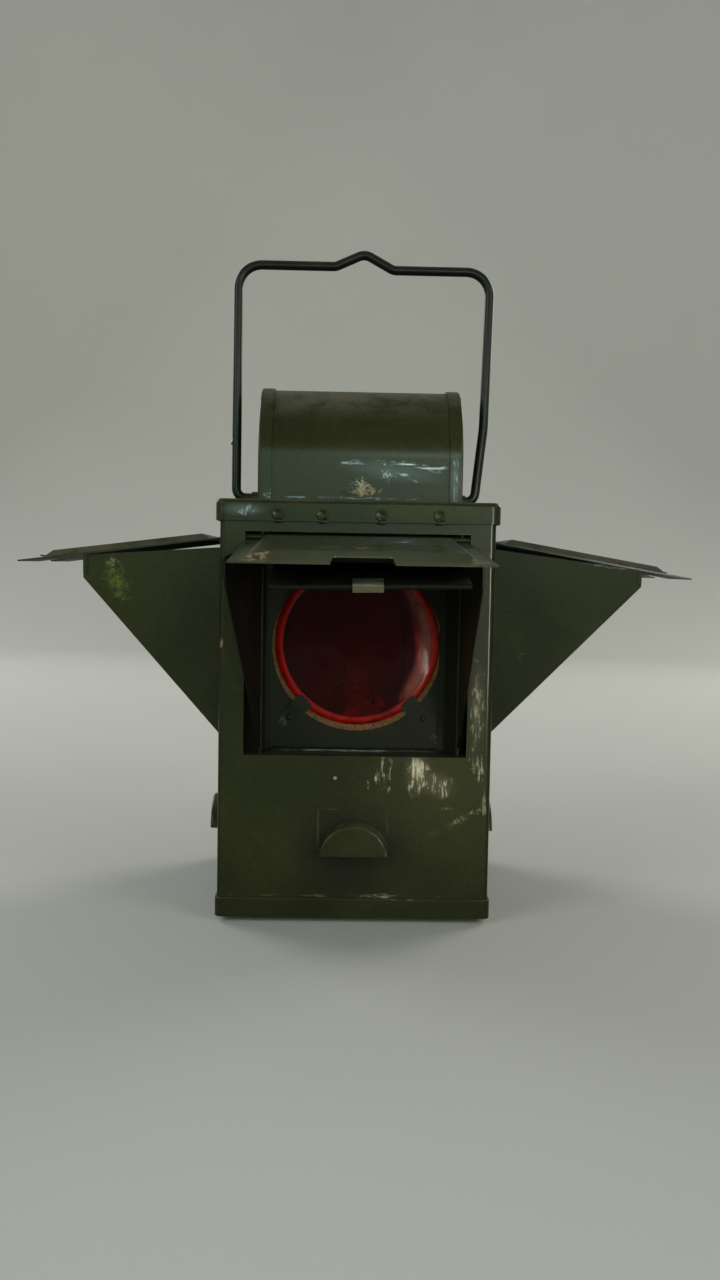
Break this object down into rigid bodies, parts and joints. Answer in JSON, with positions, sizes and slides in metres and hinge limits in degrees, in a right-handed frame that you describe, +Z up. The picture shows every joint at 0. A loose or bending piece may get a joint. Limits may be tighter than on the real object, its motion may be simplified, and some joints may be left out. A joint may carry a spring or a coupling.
{
  "type": "signal lamp",
  "caption": "Square sheet-metal oil signal lantern with hooded lens windows on the front and both sides, a hinged signalling shutter, a chimney hood, a rear door and a bail handle.",
  "frame": {"origin": "centre of the underside of the foot", "axes": "+Z up, -Y towards the red lens and the signal shutter (front), +X to the right of someone who looks at the front"},
  "size_m": [0.3743, 0.2674, 0.3842],
  "materials": {
    "olive_paint": "gloss",
    "steel_wire": "satin",
    "tinned_steel": "satin",
    "brass": "satin",
    "wick_cotton": "matte",
    "red_glass": "gloss",
    "green_glass": "gloss",
    "clear_glass": "gloss",
    "gasket": "matte"
  },
  "bodies": {
    "lamp_body": {"base_foot": "olive_paint", "base_pan": "olive_paint", "body_shell": "olive_paint", "burner_collar": "brass", "burner_dome": "brass", "burner_gallery": "brass", "cheek_wires": "steel_wire", "chimney_hood": "olive_paint", "corner_channels": "olive_paint", "door_button_rivet": "olive_paint", "door_hinge_leaf": "olive_paint", "door_pin": "steel_wire", "font_seat": "steel_wire", "front_flap_wire": "steel_wire", "front_gasket": "gasket", "front_lens": "red_glass", "front_lens_clips": "olive_paint", "front_lens_plate": "olive_paint", "intake_baffles": "olive_paint", "left_end_cap": "olive_paint", "left_flap_wire": "steel_wire", "left_gasket": "gasket", "left_handle_ear": "olive_paint", "left_lens": "green_glass", "left_lens_clips": "olive_paint", "left_lens_plate": "olive_paint", "lens_rivets": "olive_paint", "lid": "olive_paint", "lid_rivets": "olive_paint", "lower_deck": "olive_paint", "oil_font": "tinned_steel", "right_end_cap": "olive_paint", "right_flap_wire": "steel_wire", "right_gasket": "gasket", "right_handle_ear": "olive_paint", "right_lens": "clear_glass", "right_lens_clips": "olive_paint", "right_lens_plate": "olive_paint", "shutter_wire": "steel_wire", "upper_deck": "olive_paint", "wick_tube": "brass"},
    "handle": {"handle": "olive_paint"},
    "front_flap": {"front_flap": "olive_paint"},
    "right_flap": {"right_flap": "olive_paint"},
    "left_flap": {"left_flap": "olive_paint"},
    "signal_shutter": {"signal_shutter": "olive_paint", "shutter_clip": "olive_paint"},
    "rear_door": {"rear_door": "olive_paint"},
    "door_button": {"door_button": "olive_paint"},
    "filler_cap": {"filler_cap": "brass"},
    "wick": {"wick": "wick_cotton"},
    "wick_spindle": {"wick_spindle": "brass"},
    "front_left_cheek": {"front_left_cheek": "olive_paint"},
    "front_right_cheek": {"front_right_cheek": "olive_paint"},
    "right_front_cheek": {"right_front_cheek": "olive_paint"},
    "right_rear_cheek": {"right_rear_cheek": "olive_paint"},
    "left_rear_cheek": {"left_rear_cheek": "olive_paint"},
    "left_front_cheek": {"left_front_cheek": "olive_paint"}
  },
  "joints": [
    {"name": "handle_swing", "type": "hinge", "parent": "lamp_body", "child": "handle", "pos_m": [0, 0, 0.2367], "axis": [-1, 0, 0], "range_deg": [-88, 88]},
    {"name": "front_flap_lift", "type": "hinge", "parent": "lamp_body", "child": "front_flap", "pos_m": [0, -0.0718, 0.2117], "axis": [-1, 0, 0], "range_deg": [0, 20]},
    {"name": "front_left_cheek_swing", "type": "hinge", "parent": "lamp_body", "child": "front_left_cheek", "pos_m": [-0.0525, -0.0675, 0.15], "axis": [0, 0, -1], "range_deg": [-12.2, 11.3]},
    {"name": "front_right_cheek_swing", "type": "hinge", "parent": "lamp_body", "child": "front_right_cheek", "pos_m": [0.0575, -0.0645, 0.15], "axis": [0, 0, 1], "range_deg": [-4.2, 13]},
    {"name": "right_flap_lift", "type": "hinge", "parent": "lamp_body", "child": "right_flap", "pos_m": [0.0718, 0, 0.2134], "axis": [0, -1, 0], "range_deg": [0, 20]},
    {"name": "right_front_cheek_swing", "type": "hinge", "parent": "lamp_body", "child": "right_front_cheek", "pos_m": [0.0675, -0.055, 0.15], "axis": [0, 0, -1], "range_deg": [-96.9, 13.1]},
    {"name": "right_rear_cheek_swing", "type": "hinge", "parent": "lamp_body", "child": "right_rear_cheek", "pos_m": [0.0645, 0.055, 0.15], "axis": [0, 0, 1], "range_deg": [-93, 17]},
    {"name": "left_flap_lift", "type": "hinge", "parent": "lamp_body", "child": "left_flap", "pos_m": [-0.0718, 0, 0.2132], "axis": [0, 1, 0], "range_deg": [0, 20]},
    {"name": "left_rear_cheek_swing", "type": "hinge", "parent": "lamp_body", "child": "left_rear_cheek", "pos_m": [-0.0675, 0.055, 0.15], "axis": [0, 0, -1], "range_deg": [-94, 16]},
    {"name": "left_front_cheek_swing", "type": "hinge", "parent": "lamp_body", "child": "left_front_cheek", "pos_m": [-0.0645, -0.055, 0.15], "axis": [0, 0, 1], "range_deg": [-91.5, 18.5]},
    {"name": "shutter_drop", "type": "hinge", "parent": "lamp_body", "child": "signal_shutter", "pos_m": [0.004, -0.0605, 0.2074], "axis": [1, 0, 0], "range_deg": [0, 78]},
    {"name": "door_open", "type": "hinge", "parent": "lamp_body", "child": "rear_door", "pos_m": [0.0585, 0.0775, 0.116], "axis": [0, 0, -1], "range_deg": [0, 120]},
    {"name": "button_turn", "type": "hinge", "parent": "lamp_body", "child": "door_button", "pos_m": [-0.0625, 0.0766, 0.1335], "axis": [0, 1, 0], "range_deg": [0, 90]},
    {"name": "filler_cap_lift", "type": "slide", "parent": "lamp_body", "child": "filler_cap", "axis": [0, 0, 1], "range_m": [0, 0.012]},
    {"name": "spindle_turn", "type": "hinge", "parent": "lamp_body", "child": "wick_spindle", "pos_m": [0, 0.0055, 0.078], "axis": [-1, 0, 0], "range_deg": [-57.2, 85.9]},
    {"name": "wick_rise", "type": "slide", "parent": "lamp_body", "child": "wick", "axis": [0, 0, 1], "range_m": [-0.004, 0.006]}
  ],
  "couplings": [
    {"joint": "wick_rise", "follows": "spindle_turn", "m_per_rad": 0.004}
  ]
}
